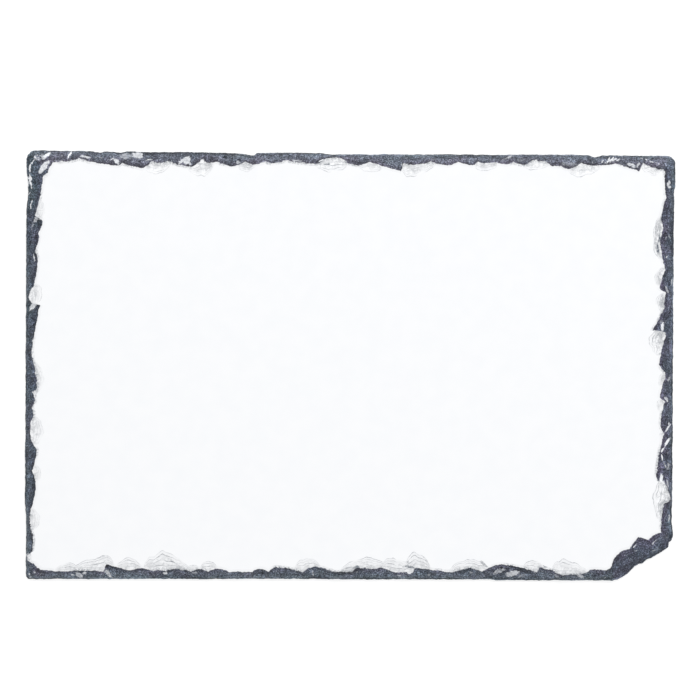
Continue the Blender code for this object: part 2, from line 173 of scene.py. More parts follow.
# %% The left side
LEFT = {
    "shade": 0.72, "purple": -0.1, "relief": 1.0, "rings": 0.5, "hollow_shade_strength": 0.85, "reach": 3.0,
    "chips": [
        (104.1, 91.0, 83.0, 10.2), (99.5, 87.5, 67.6, 8.1), (69.4, 66.9, 57.0, 7.8),
        (66.0, 59.8, 50.5, 6.2), (54.5, 49.1, 34.8, 5.7), (3.9, -10.4, -11.8, 5.4),
        (-11.8, -16.0, -18.3, 4.5), (-19.2, -22.4, -24.1, 3.9), (-31.7, -38.6, -48.3, 5.2),
        (-48.3, -55.2, -64.9, 5.0), (-76.0, -80.6, -86.6, 3.6),
    ],
    "teeth": [
        (29.3, 28.1, 8.0, 6.6), (-89.5, -93.5, -100.0, 5.6),
    ],
    "hollows": [
        (81.9, 70.8, 63.9, 8.8), (55.1, 52.4, 49.6, 6.0), (40.4, 32.5, 27.4, 8.1),
        (36.7, 31.6, 28.4, 7.4, 1.6), (4.3, -5.8, -16.0, 8.2), (-11.8, -14.6, -17.8, 5.5),
        (-20.6, -29.8, -40.0, 7.8), (-23.8, -30.3, -37.7, 7.0, 2.1), (-42.8, -49.7, -56.6, 7.0),
        (-63.5, -70.9, -77.9, 6.4), (-64.9, -70.9, -76.0, 4.7, 2.0), (-86.0, -87.8, -91.0, 3.5, 0.7),
    ],
    "nicks": [
        (92.0, 0.1), (81.0, 1.0), (72.0, 0.1), (28.0, -0.1), (-30.0, -0.3), (-63.0, -0.4), (-68.0, 0.1),
        (-90.0, 0.1),
    ],
}
print("left:", len(LEFT["chips"]) + len(LEFT["teeth"]), "bare chips")

# %% The right side and the broken corner
RIGHT = {
    "shade": 0.75, "purple": 0.0, "relief": 1.0, "rings": 1.0, "hollow_shade_strength": 1.35, "reach": 4.4,
    "chips": [
        (92.5, 85.2, 77.8, 5.2), (77.3, 68.5, 60.0, 6.7), (65.5, 57.9, 44.1, 7.1), (44.1, 35.3, 34.1, 7.2),
        (33.4, 28.8, 24.7, 5.1), (12.5, 0.5, -3.0, 7.2), (-5.8, -14.6, -16.2, 6.8),
        (-16.9, -26.6, -31.7, 6.5), (-30.8, -51.4, -55.0, 8.3), (-50.0, -54.0, -62.0, 5.3),
        (-62.6, -77.4, -81.6, 6.0),
    ],
    "teeth": [
        (27.4, 16.4, 15.7, 10.4),
    ],
    "hollows": [
        (76.4, 57.9, 44.1, 10.5), (48.7, 39.9, 32.5, 9.3), (35.7, 29.3, 21.9, 9.0), (19.6, 12.2, 0.6, 11.6),
        (-0.3, -7.2, -14.1, 7.5), (-12.7, -17.8, -25.2, 7.9), (-24.3, -33.5, -43.7, 6.8),
        (-48.3, -60.8, -78.8, 9.2), (-53.0, -61.5, -63.5, 8.0, 1.7),
    ],
    "nicks": [
        (84.0, 0.0), (80.0, 0.5), (30.0, 0.6), (-60.0, 0.5), (-72.0, 0.7), (-78.5, 0.0),
    ],
}
BREAK = {
    "shade": 0.76, "purple": 0.03, "relief": 0.5, "rings": 1.0, "hollow_shade_strength": 1.0, "reach": 5.9,
    "chips": [
        (-4.0, 10.5, 17.0, 9.7), (11.0, 20.6, 23.2, 10.3), (22.0, 29.8, 37.0, 7.3),
    ],
    "teeth": [],
    "hollows": [],
    "nicks": [
        (2.0, -0.4), (4.5, -0.7), (7.0, -0.7), (11.4, 0.0), (13.5, -0.1), (15.2, -1.0), (18.3, -0.6),
        (19.5, -1.3), (28.7, -1.9), (30.8, -0.2), (32.5, -0.3),
    ],
}
print("right:", len(RIGHT["chips"]) + len(RIGHT["teeth"]), "bare chips; broken corner:", len(BREAK["chips"]))

# %% [markdown]
# ## Noise and the form of a scar
#
# Stone is never even, so most numbers get a little smooth noise. Blender has it ready in mathutils, and the
# helper calls it for a whole array of places. A scar is deepest at one place and runs out at its two ends.
# Two powers set how: round chips, straight teeth and broad hollows each have their own pair.

# %% Noise and form
CHIP_FORM = (1.3, 0.7)
TOOTH_FORM = (1.0, 1.0)
HOLLOW_FORM = (2.0, 0.7)


def wander(x, y, size, seed):
    """Smooth noise between about -1 and 1, with lumps of the given size."""
    places = zip(np.ravel(x / size), np.ravel(y / size))
    return np.reshape([noise.noise(Vector((a, b, seed))) for a, b in places], np.shape(x))


def swell(place, scar, form):
    """1 where a scar is deepest, falling to 0 at its two ends."""
    start, deepest, end = scar[:3]
    far = np.where((place - deepest) * (start - deepest) > 0, start, end)
    share = np.minimum(1, abs(place - deepest) / abs(far - deepest))
    bend, rise = form
    return (1 - share**bend) ** rise


print("a round chip is", round(float(swell(np.array(5.0), (0, 10, 20), CHIP_FORM)), 2), "deep halfway out")

# %% [markdown]
# ## One side and the lines across it
#
# The mesh is made of columns: lines that run from the outline inwards, straight across the edge. Near a
# corner they turn, so that the last one lies on the corner's mitre and meets the first one of the next side.
# A place on a column is told by how far along the side it starts and by its depth.

# %% A side
X_AXIS, Y_AXIS, ALONG = 0, 1, None


def mitre(ahead, other):
    """How far along the side the ring at depth BAND has its corner."""
    turn = math.acos(np.dot(ahead, other) / math.hypot(*other))
    return BAND * math.tan(turn / 2)


def make_side(scars, start, end, axis, before, after):
    """A side from one corner to the next, with what the columns near its ends need."""
    side = SimpleNamespace(scars=scars, axis=axis, corners=(start, end), start=np.array(start[:2]))
    run = np.array(end[:2]) - side.start
    side.length = math.hypot(*run)
    side.ahead = run / side.length
    side.inward = np.array((-side.ahead[1], side.ahead[0]))
    side.fan = min(FAN, side.length / 2)
    side.start_lean = mitre(side.ahead, side.start - before[:2])
    side.end_lean = mitre(side.ahead, np.array(after[:2]) - end[:2])
    return side


def point(side, along, depth):
    """X and Y at this depth on the column that starts at this place."""
    lean = side.start_lean * np.clip(1 - along / side.fan, 0, 1)
    lean = lean - side.end_lean * np.clip(1 - (side.length - along) / side.fan, 0, 1)
    forward = along + lean * depth / BAND
    x = side.start[0] + forward * side.ahead[0] + depth * side.inward[0]
    y = side.start[1] + forward * side.ahead[1] + depth * side.inward[1]
    return x, y


def place_of(side, x, y):
    """The coordinate that the side's scars are listed by."""
    if side.axis is ALONG:
        return (x - side.start[0]) * side.ahead[0] + (y - side.start[1]) * side.ahead[1]
    return (x, y)[side.axis]


CORNERS = [
    (BOTTOM, LOWER_LEFT, X_AXIS),
    (BREAK, BREAK_LOW, ALONG),
    (RIGHT, BREAK_HIGH, Y_AXIS),
    (TOP, UPPER_RIGHT, X_AXIS),
    (LEFT, UPPER_LEFT, Y_AXIS),
]
sides = []
for index, (scars, start, axis) in enumerate(CORNERS):
    before = CORNERS[index - 1][1]
    end = CORNERS[(index + 1) % len(CORNERS)][1]
    after = CORNERS[(index + 2) % len(CORNERS)][1]
    sides.append(make_side(scars, start, end, axis, before, after))
print("side lengths:", [round(side.length, 1) for side in sides])

# %% [markdown]
# ## Three lines round the slab
#
# The outline, the line where the bare chips end and the coating begins, and the line where the hollows end
# and the face is flat. Each is a depth on every column. A column leans near a corner, so the reach that a
# column meets depends on where it meets it, and a few halved steps settle that. On top of the plain solid's
# lines come finer noises: they give the stone's small crumbs, and keep a hollow from being a neat arc.

# %% The three lines


def by_corner(side, along):
    """Radius and reach of the nearer corner, the way to it, and 1 at it falling to 0 at CORNER_REACH."""
    nearer_start = along < side.length / 2
    (_, _, radius, reach), (_, _, other_radius, other_reach) = side.corners
    away = np.where(nearer_start, along, side.length - along)
    radius = np.where(nearer_start, radius, other_radius)
    reach = np.where(nearer_start, reach, other_reach)
    return radius, reach, away, np.clip(1 - away / CORNER_REACH, 0, 1) ** 2


def outline_depth(side, along):
    """Depth of the outline inside the side's line, with its nicks and its worn corners."""
    x, y = point(side, along, 0 * along)
    radius, _, away, share = by_corner(side, along)
    places, depths = zip(*sorted(side.scars["nicks"]))
    depth = np.interp(place_of(side, x, y), places, depths) * (1 - share)
    worn = WORN * radius * np.clip(1 - away / radius, 0, 1) ** 2
    fine = FINE_OUTLINE * (wander(x, y, 1.7, 11) + 0.6 * wander(x, y, 0.8, 12))
    return depth + worn + ROUGHNESS * wander(x, y, 4, 1) + fine


def settle(side, along, reach, reach_at):
    """The reach that is asked for at its own place."""
    for _ in range(SETTLING_STEPS):
        reach = (reach + reach_at(place_of(side, *point(side, along, reach)))) / 2
    return reach


def bare_reach(side, along):
    """Depth of the line where the bare chips end and the coating begins."""
    usual = side.scars["reach"]
    _, corner_reach, _, share = by_corner(side, along)

    def reach_at(place):
        reach = usual + 0 * place
        for kind, form in (("chips", CHIP_FORM), ("teeth", TOOTH_FORM)):
            for scar in side.scars[kind]:
                reach = np.maximum(reach, usual + (scar[3] - usual) * swell(place, scar, form))
        for hollow in side.scars["hollows"]:
            for left in hollow[4:]:
                reach = reach - np.maximum(0, reach - left) * swell(place, hollow, CHIP_FORM)
        return reach + (corner_reach - reach) * share

    reach = settle(side, along, usual + 0 * along, reach_at)
    x, y = point(side, along, reach)
    fine = FINE_LINE * (wander(x, y, 1.5, 13) + 0.6 * wander(x, y, 0.7, 14))
    return reach + ROUGHNESS * wander(x, y, 3, 2) + fine


def hollow_reach(side, along, bare):
    """Depth of the line where the coated hollows end and the face is flat."""

    def reach_at(place):
        found = [hollow[3] * swell(place, hollow, HOLLOW_FORM) for hollow in side.scars["hollows"]]
        return np.max([bare, *found], axis=0)

    reach = settle(side, along, bare, reach_at)
    x, y = point(side, along, reach)
    torn = HOLLOW_TORN * (reach - bare) * (wander(x, y, 5, 15) + 0.7 * wander(x, y, 2.2, 16))
    return np.maximum(reach + torn, bare + LEAST_RIM)


for side in sides:
    count = round(side.length / COLUMN_GAP)
    side.along = np.arange(count) * side.length / count
    side.edge = outline_depth(side, side.along)
    side.bare = bare_reach(side, side.along)
    side.hollow = hollow_reach(side, side.along, side.bare)
    print(count, "columns, the bare band is", round(float(np.mean(side.bare - side.edge)), 1), "mm wide")

# %% [markdown]
# ## Heights across the edge
#
# Slate splits in leaves that lie flat, so a chipped edge is a flight of small uneven steps between flats of
# broken stone. The rows start at the back, climb the short upright foot, cross the bare band, cross the
# hollows and end on the face. In the band each height is snapped towards the leaves, and facets that lean
# this way and that break up the steps. The hollows keep a few soft steps only, because the coating has
# filled the small ones. A row also carries numbers for the materials: how far inside the coating it lies,
# how far across the band, how strong a painted shade line at a step of a hollow is, how far it stands out
# from the smooth form (which the material turns into painted light and shade), and how much painted shade
# lies in the hollow there.
#
# The distance to the coating could be the depth alone. At the steep end of a tooth that jumps from one
# column to the next, and the coating would end there as if cut with a knife. The true distance to the line
# changes evenly in every direction, so the material can fray the coating all round.

# %% The rows
WIDEST = 0.45  # the outline lies at this share of the foot's height
# (share of the back's edge, share of the foot's height)
FOOT_ROWS = [(1.0, 0.0), (0.5, 0.18), (0.14, 0.34), (0.0, WIDEST), (-0.04, 0.72)]
BAND_STEPS = np.linspace(0, 1, 15)
SET_BACK = 0.2  # the foot's top lies this far inside the outline
LOWER_BREAK, UPPER_BREAK = 0.36, 0.72  # where the band's slope changes, as shares of the way across
LOWER_RISE, LOWER_VARIES = 0.42, 0.22  # height at the first change, as a share of the rise
UPPER_RISE, UPPER_VARIES = 0.78, 0.14
HOLLOW_ROWS = [  # (share of the way, share of the rise, strength of the painted shade line at this step)
    (0.10, 0.06, 0.0), (0.21, 0.12, 0.0), (0.25, 0.17, 0.0), (0.28, 0.25, 0.8), (0.32, 0.33, 0.0),
    (0.42, 0.39, 0.0), (0.50, 0.45, 0.0), (0.54, 0.55, 1.0), (0.58, 0.64, 0.0), (0.68, 0.70, 0.0),
    (0.77, 0.76, 0.0), (0.80, 0.83, 0.9), (0.84, 0.89, 0.0), (0.95, 0.94, 0.0), (1.00, 1.00, 0.7),
]
FLAT_RIM = 0.35  # the last row lies this far beyond the hollows
RING_SHIFT = 0.045  # the most that a ring is shifted, as a share of the hollow's width
NARROW = 1.1  # a hollow narrower than this has neither painted shade lines at its steps nor painted shade in it
LEAF_DEPTH = 0.65  # how much of each leaf's step shows
LEAF_STEEPNESS = 2.6
FACET_DEPTH, SMALL_FACET_DEPTH, GRAIN_DEPTH = 0.42, 0.2, 0.16
LEAST_HEIGHT = 0.6  # broken stone doesn't go lower than this above the back
BELOW_FACE = 0.05  # nor higher than this below the face
COATING_LINE = len(FOOT_ROWS) + len(BAND_STEPS) - 1  # the row where the coating ends
NEIGHBOURS = 12  # columns to each side that the distance to this line is looked for in


def facets(x, y, size, seed):
    """Planes that lean at random, as broken stone has: one for each cell of a Voronoi pattern."""
    heights = []
    for a, b in zip(np.ravel(x / size), np.ravel(y / size)):
        spot = Vector((a, b, seed))
        centre = noise.voronoi(spot)[1][0]
        lean = 2 * noise.cell_vector(7 * centre) - Vector((1, 1, 1))
        heights.append((spot - centre).dot(lean) + 0.4 * lean.z)
    return np.reshape(heights, np.shape(x))


def band_profile(step, lump, other_lump):
    """Share of the height at a step of the way across the band."""
    low = LOWER_RISE + LOWER_VARIES * lump
    high = UPPER_RISE + UPPER_VARIES * other_lump
    if step < LOWER_BREAK:
        return low * step / LOWER_BREAK
    if step < UPPER_BREAK:
        return low + (high - low) * (step - LOWER_BREAK) / (UPPER_BREAK - LOWER_BREAK)
    return high + (1 - high) * (step - UPPER_BREAK) / (1 - UPPER_BREAK)


def break_up(x, y, height, step):
    """Turns a smooth slope into broken leaves, less so at the ends of the band."""
    window = min(1, 5 * step, 4 * (1 - step))
    level = (height + 0.7 * wander(x, y, 9, 21)) / LAYER
    flat = np.floor(level) + np.clip((level % 1 - 0.5) * LEAF_STEEPNESS + 0.5, 0, 1)
    leaves = LEAF_DEPTH * (flat - level) * LAYER
    chips = FACET_DEPTH * facets(x, y, FACET, 22) + SMALL_FACET_DEPTH * facets(x, y, 0.45 * FACET, 23)
    return window * (leaves + chips + GRAIN_DEPTH * wander(x, y, 1.0, 24))


def side_rows(side):
    """All rows of a side: (x, y, height, coated, across, painted step shade, relief, painted hollow shade).
    """
    along, edge, bare, hollow = side.along, side.edge, side.bare, side.hollow
    nothing = 0 * along
    x, y = point(side, along, edge)
    foot = FOOT + FOOT_VARIES * wander(x, y, 14, 3)
    back = BACK_EDGE + BACK_CHIPS * np.maximum(0, wander(x, y, 18, 4)) + BACK_CRUMBS * wander(x, y, 2, 25)
    rim = THICKNESS - HOLLOW_SLOPE * np.maximum(0, hollow - bare - LEAST_RIM)
    clear = np.clip((hollow - bare - NARROW) / NARROW, 0, 1)
    # painted shade in the hollows, as strong as the side asks where a hollow is wide enough
    hollow_shade_here = side.scars["hollow_shade_strength"] * clear
    lump = wander(x, y, 6, 5)
    other_lump = wander(x, y, 5, 6)
    rows = []
    for of_back, of_foot in FOOT_ROWS:
        depth = edge + of_back * back
        rows.append((*point(side, along, depth), of_foot * foot, depth - bare, *[nothing] * 4))
    for step in BAND_STEPS:
        depth = edge + SET_BACK + (bare - edge - SET_BACK) * step
        x, y = point(side, along, depth)
        smooth = foot + (rim - foot) * band_profile(step, lump, other_lump)
        broken = side.scars["relief"] * break_up(x, y, smooth, step)
        height = np.clip(smooth + broken, LEAST_HEIGHT, THICKNESS - BELOW_FACE * (1 - step))
        rows.append((x, y, height, depth - bare, nothing + step, nothing, broken, hollow_shade_here * (step == 1)))
    for share, rise, step_shade_and_dark_lines in HOLLOW_ROWS:
        ring = round(4 * share)
        waves = wander(x, y, 6, 30 + ring) + 0.7 * wander(x, y, 2.2, 35 + ring)
        shift = np.clip(0.3 * waves * share * (1 - share), -RING_SHIFT, RING_SHIFT)
        depth = bare + (hollow - bare) * (share + shift)
        x, y = point(side, along, depth)
        height = rim + (THICKNESS - rim) * rise
        # how strong the painted shade lines at the hollow's steps are here
        seen = clear * np.clip(0.6 + 1.3 * wander(x, y, 5, 40 + ring), 0, 1) * side.scars["rings"]
        # painted shade in the hollow, strongest next to the bare band
        hollow_shade_strength = hollow_shade_here * (1 - share**2)
        rows.append((x, y, height, depth - bare, nothing + 1, step_shade_and_dark_lines * seen, nothing, hollow_shade_strength))
    depth = hollow + FLAT_RIM
    rows.append((*point(side, along, depth), nothing + THICKNESS, depth - bare, nothing + 1, *[nothing] * 3))
    return np.array(rows)


def distance_to_coating(rings):
    """How far each point lies from the line where the coating ends, below 0 in the bare band."""
    x, y, depth_inside = rings[:, 0], rings[:, 1], rings[:, 3]
    start_x, start_y = rings[COATING_LINE, :2]
    run_x, run_y = np.roll(start_x, -1) - start_x, np.roll(start_y, -1) - start_y
    nearest = abs(depth_inside)
    for shift in range(-NEIGHBOURS, NEIGHBOURS + 1):
        to_x, to_y = x - np.roll(start_x, shift), y - np.roll(start_y, shift)
        piece_x, piece_y = np.roll(run_x, shift), np.roll(run_y, shift)
        share = np.clip((to_x * piece_x + to_y * piece_y) / (piece_x**2 + piece_y**2), 0, 1)
        nearest = np.minimum(nearest, np.hypot(to_x - share * piece_x, to_y - share * piece_y))
    return np.sign(depth_inside) * nearest


rings = np.concatenate([side_rows(side) for side in sides], axis=2)
rings[:, 3] = distance_to_coating(rings)
# How light each side's band is: partly the stone's own tone, partly painted shade of how the side is lit.
side_tones_and_shades = np.concatenate([side.scars["shade"] + 0 * side.along for side in sides])
purples = np.concatenate([side.scars["purple"] + 0 * side.along for side in sides])
outline_x, outline_y = rings[3, 0], rings[3, 1]
middle_x = (outline_x.min() + outline_x.max()) / 2
middle_y = (outline_y.min() + outline_y.max()) / 2
print(rings.shape[0], "rows of", rings.shape[2], "points, shifted by", round(middle_x, 2), round(middle_y, 2))

# %% [markdown]
# ## Pale marks
#
# Here and there the bare band isn't dark: flakes have come off so clean that they shine (a painted glint),
# coating has run over an old scar, and a hammer has left white scratches. The eye looks for these, so the
# larger ones are listed one by one: (X, Y, length, width, angle in degrees, strength). A number on each
# vertex, 1 in the middle of a mark and 0 at its edge, lets the material draw the ragged edge itself. Dark
# marks are dark lines drawn in the coating. A mark narrower than the columns' gap would fall between them,
# so each kind has a least half width.

# %% The marks' places
PALE_MARKS = [
    (143.7, 17.4, 6.6, 1.6, 80, 1.0), (-147.9, 85.9, 4.2, 1.0, 82, 1.0), (-148.0, 92.3, 3.2, 1.2, 75, 1.0),
    (-146.1, 95.6, 3.7, 1.0, 62, 0.9), (-149.2, 85.2, 5.5, 0.9, 94, 0.9), (27.2, -94.7, 4.2, 2.3, 0, 1.0),
    (-142.7, 96.2, 2.3, 1.1, 60, 0.6), (-145.0, 67.9, 4.2, 2.0, 60, 0.75),
    (-148.8, -87.3, 2.8, 1.8, 20, 0.6), (146.6, 84.1, 3.4, 1.7, 92, 0.88),
    (100.9, 92.9, 8.3, 2.6, -4, 0.25), (104.1, 92.3, 2.8, 0.7, 40, 0.3), (98.6, 93.0, 2.3, 0.6, 30, 0.3),
    (111.5, 93.9, 1.4, 0.6, 80, 0.5), (38.3, 95.3, 2.8, 1.4, 0, 0.2), (-145.5, 96.2, 4.2, 0.9, 52, 1.0),
    (-147.2, 93.7, 2.3, 0.9, 60, 1.0), (-147.9, 91.2, 4.2, 1.1, 80, 1.0), (-148.3, 87.5, 3.7, 1.0, 92, 1.0),
    (-147.7, 84.2, 3.7, 1.0, 112, 1.0), (-147.2, 82.2, 1.8, 0.8, 90, 0.9),
    (-148.3, 79.6, 2.8, 0.7, 62, 0.6), (-149.6, 85.2, 4.2, 0.7, 100, 0.9),
    (-147.0, 75.9, 3.2, 0.6, 85, 0.8), (-147.6, 73.6, 2.6, 0.9, 95, 1.0),
    (-146.6, 65.3, 2.3, 0.6, 100, 0.5), (-140.2, 97.2, 4.4, 1.9, 38, 1.0),
    (-141.5, 95.8, 2.3, 1.4, 60, 0.8), (-143.9, 95.6, 2.8, 0.6, 100, 0.75),
    (-144.7, 94.6, 2.3, 0.7, 80, 0.6), (-142.7, 97.4, 2.0, 1.0, 30, 0.7),
    (-141.4, 91.9, 7.0, 2.8, 50, 0.93), (-142.9, 89.7, 3.2, 1.6, 70, 0.85),
    (-139.9, 93.7, 3.2, 1.7, 30, 0.95), (-133.2, 96.9, 1.8, 1.1, 60, 0.35),
    (-129.6, 97.4, 4.4, 1.2, 60, 1.0), (-103.7, 97.0, 6.0, 3.2, 0, 0.5), (-98.4, 97.2, 5.5, 3.4, -8, 0.85),
    (-75.6, 95.0, 4.3, 3.7, 60, 0.84), (-77.9, 94.5, 5.1, 1.9, 38, 0.78), (-74.4, 93.5, 2.4, 1.5, -70, 0.8),
    (-93.1, 95.0, 3.5, 0.6, 8, 0.9), (-52.0, 93.9, 2.3, 2.0, 0, 0.55), (68.3, -94.7, 6.5, 2.3, 22, 0.6),
    (74.7, -95.8, 6.9, 3.2, 12, 0.8), (79.0, -96.9, 4.2, 1.6, 20, 0.42),
    (105.5, -96.5, 5.1, 1.8, -30, 0.62), (94.9, -96.8, 3.2, 1.6, -30, 0.35),
    (-17.5, -95.9, 3.5, 0.4, 96, 0.6), (3.0, -95.2, 1.4, 0.5, 0, 0.4), (55.4, -95.2, 2.8, 0.4, -18, 0.55),
    (87.7, -94.5, 3.2, 0.7, -20, 0.35), (22.4, -96.6, 1.8, 0.6, 20, 0.6), (36.0, -96.3, 2.1, 0.7, 15, 0.45),
    (143.0, 20.5, 2.2, 1.4, 60, 0.25), (146.1, -28.9, 5.3, 1.0, 52, 0.86),
    (147.0, -26.4, 1.8, 0.9, 70, 0.7), (145.9, -35.1, 5.3, 1.7, 57, 1.0),
    (143.8, -38.8, 3.2, 0.7, 62, 0.95), (143.5, -42.1, 3.7, 0.9, 105, 1.0),
    (145.0, -46.0, 5.1, 0.6, 122, 0.8), (146.2, -40.0, 1.8, 0.5, 30, 0.3),
    (146.8, -46.5, 3.7, 1.4, 80, 0.35), (143.2, -52.6, 6.4, 1.8, 86, 1.0),
    (143.7, -55.0, 4.0, 2.8, 80, 1.0), (146.2, -54.4, 4.4, 0.8, 102, 0.6),
    (-122.2, 96.4, 5.5, 1.2, -8, 0.82), (-115.9, 96.2, 4.2, 0.5, 0, 0.5),
    (-107.9, 94.2, 3.7, 1.9, -50, 0.9), (-110.1, 95.5, 3.7, 0.4, 31, 0.7), (-24.9, 94.6, 6.0, 0.9, -8, 0.6),
    (-12.9, 94.6, 4.2, 0.6, 5, 1.0), (71.6, 95.8, 6.0, 0.6, 30, 0.6), (73.4, 96.2, 2.8, 0.6, 30, 0.65),
    (78.5, 95.3, 4.2, 2.3, 0, 0.2), (116.1, 94.2, 1.8, 0.8, 45, 0.85), (117.4, 93.9, 1.6, 0.7, 60, 0.6),
    (118.8, 94.7, 4.2, 0.9, 62, 0.95), (120.4, 95.2, 3.7, 1.0, 52, 0.95), (121.9, 95.3, 2.8, 0.9, 40, 0.9),
    (123.3, 95.1, 2.3, 0.9, 40, 0.9), (129.5, 92.6, 4.4, 2.0, -20, 0.82), (132.6, 92.6, 3.0, 1.4, 60, 0.84),
    (134.2, 95.7, 1.8, 0.7, -35, 0.9), (136.2, 95.2, 1.2, 0.4, -50, 0.9), (138.9, 94.0, 2.8, 0.4, -15, 0.9),
    (140.8, 93.6, 1.0, 0.4, 60, 0.8), (142.1, 93.2, 1.4, 0.4, 60, 0.8), (147.1, 82.5, 2.1, 1.2, 15, 0.85),
    (145.9, 35.3, 4.2, 1.1, 110, 0.6), (148.2, 38.7, 3.6, 0.8, 90, 0.65),
    (146.8, 59.8, 3.2, 0.9, 110, 0.45), (145.4, 58.8, 2.6, 0.8, 80, 0.35), (145.6, 50.2, 2.0, 0.9, 60, 0.8),
    (146.9, -5.8, 3.2, 1.2, 60, 0.45), (145.5, -15.3, 3.7, 1.4, 120, 0.8),
    (146.4, -45.5, 3.2, 0.4, 95, 0.5), (146.9, -70.2, 3.0, 1.1, 85, 0.68),
    (-128.3, -96.4, 2.1, 0.6, -30, 0.8), (-125.4, -96.3, 4.2, 2.3, -35, 0.72),
    (-122.8, -95.6, 2.2, 1.3, 0, 0.85), (-112.0, -95.6, 6.0, 2.0, -48, 0.75),
    (-85.7, -95.6, 2.3, 1.4, 0, 0.9), (-72.0, -95.4, 3.2, 0.9, 0, 0.5), (-147.8, -92.8, 0.7, 0.7, 0, 0.7),
    (-145.7, -95.1, 1.6, 0.9, -45, 0.8), (-148.3, -96.0, 1.4, 0.8, -45, 0.9),
    (-147.8, -97.4, 1.8, 0.9, 0, 0.6), (-142.9, -96.2, 2.3, 0.4, 55, 0.4),
    (131.6, -82.6, 4.4, 0.8, 42, 0.82), (131.5, -85.1, 1.8, 0.8, 10, 0.85),
    (139.7, -81.4, 4.6, 0.8, 40, 0.88), (141.1, -84.6, 3.4, 0.8, 38, 0.35),
    (139.6, -85.6, 1.8, 0.8, 35, 0.6), (23.5, 92.9, 1.8, 1.0, 60, 0.8), (-106.6, -91.2, 1.6, 1.0, -40, 1.0),
    (145.9, -79.3, 0.7, 0.6, 0, 0.6), (117.4, -97.7, 1.2, 0.5, 60, 0.5), (-147.1, 63.5, 4.2, 0.5, 90, 0.4),
    (-146.0, 50.1, 4.6, 0.8, 100, 0.8), (-146.1, 28.1, 6.9, 2.8, 50, 1.0),
    (-143.2, 67.6, 2.2, 1.0, -20, 0.5),
]
DARK_MARKS = [
    (61.4, -91.5, 6.0, 1.1, -33, 0.55), (-11.1, 93.2, 3.2, 1.2, 8, 1.0), (27.2, -92.7, 5.5, 1.0, -14, 1.0),
    (140.9, 63.5, 7.4, 0.9, 84, 0.5), (140.2, 56.5, 6.5, 0.9, 92, 0.45), (34.6, -89.4, 7.4, 0.8, -55, 0.3),
    (-81.3, -90.8, 12.0, 0.8, -38, 0.28), (-113.1, -88.2, 8.3, 0.7, 4, 0.2),
    (-144.8, -12.3, 4.2, 1.0, 80, 0.5), (-0.5, -93.0, 4.6, 0.9, 8, 0.5), (143.2, 68.1, 5.1, 0.6, 80, 0.6),
    (142.4, 63.2, 4.2, 0.5, 82, 0.4), (142.2, 58.5, 4.6, 1.3, 88, 1.0), (141.4, 54.2, 6.5, 1.5, 96, 1.0),
    (141.1, 49.6, 3.7, 0.5, 92, 0.3), (26.3, -90.3, 0.7, 0.7, 0, 0.7), (2.5, -92.7, 3.7, 1.3, 8, 1.0),
    (89.8, -92.3, 2.6, 1.3, -10, 0.9), (61.2, -91.0, 4.2, 0.5, -30, 0.5), (141.5, -52.0, 5.5, 1.3, 95, 1.0),
    (142.9, 13.6, 6.5, 0.5, 100, 0.5),
]
LEAST_HALF_LENGTH = 0.45
PALE_HALF_WIDTH = 0.34
DARK_HALF_WIDTH = 0.55  # more than a pale mark's, because a dark line fades towards its edge
MARK_WARP = 0.45  # how far noise bends the marks
COAT_CLEAR = 2.5  # this far inside the coating nothing of the bare edge shows any more


def marked(x, y, marks, least_half_width):
    """For each place, 1 in the middle of the nearest mark falling past 0 outside, and its strength."""
    x, y = x + MARK_WARP * wander(x, y, 2.0, 50), y + MARK_WARP * wander(x, y, 2.0, 51)
    inside = np.full(np.shape(x), -2.0)
    strength = np.zeros(np.shape(x))
    for mark_x, mark_y, length, width, angle, mark_strength in marks:
        along = np.array((math.cos(math.radians(angle)), math.sin(math.radians(angle))))
        way = (x - mark_x) * along[0] + (y - mark_y) * along[1]
        off = (y - mark_y) * along[0] - (x - mark_x) * along[1]
        way = way / max(length / 2, LEAST_HALF_LENGTH)
        off = off / max(width / 2, least_half_width)
        here = 1 - way**2 - off**2
        strength = np.where(here > inside, mark_strength, strength)
        inside = np.maximum(inside, here)
    return inside, strength


x, y, height, coated, across, step_shade_and_dark_lines, relief, hollow_shade = np.moveaxis(rings, 1, 0)
pale, pale_strength = marked(x, y, PALE_MARKS, PALE_HALF_WIDTH)
dark_lined, dark_line_strength = marked(x, y, DARK_MARKS, DARK_HALF_WIDTH)
# the dark marks' lines join the painted shade lines at the steps
step_shade_and_dark_lines = np.maximum(step_shade_and_dark_lines, dark_line_strength * np.clip(2 * dark_lined, 0, 1))
step_shade_and_dark_lines[-1] = 0  # the last row carries the whole flat face
pale[-1] = -1
coated[-1] = COAT_CLEAR
print(len(PALE_MARKS), "pale marks touch", int((pale > 0).sum()), "points")

# %% [markdown]
# ## The mesh
#
# A circle with a cap is the back's edge. Its cap is extruded row by row, and after each step its corners are
# put where the row lies, so every row joins the next by a ring of small faces and the last cap is the flat
# face. The hole left underneath is filled, and planes cut the new face into squares, whose corners then get
# the low swells of a split face. The back's rim stays at zero, which is what the slab rests on.

# %% Build the slab
FIELDS = {
    "coated": np.clip(coated, -2, COAT_CLEAR),
    "across": across,
    # painted shade lines at the hollows' steps, and the dark marks' lines
    "step_shade_and_dark_lines": step_shade_and_dark_lines,
    "relief": relief,
    # partly the stone's own tone, partly painted shade
    "side_tone_and_shade": side_tones_and_shades + 0 * x,
    "purple": 0.2 * across - 0.05 + purples,  # more purple towards the coating
    # painted shade in the hollows
    "hollow_shade": hollow_shade,
    "pale": pale,
    "pale_strength": pale_strength,
}
BACK_SQUARE = 4.5  # size of the back's squares
BACK_SWELL = 0.32  # height of its swells
BACK_LEAF = 0.16  # they rise in half steps of this
SHARP_ANGLE = 38  # in degrees: steeper folds keep a sharp edge


def place(name, data):
    """Makes an object and puts it into the scene."""
    placed = bpy.data.objects.new(name, data)
    bpy.context.collection.objects.link(placed)
    return placed


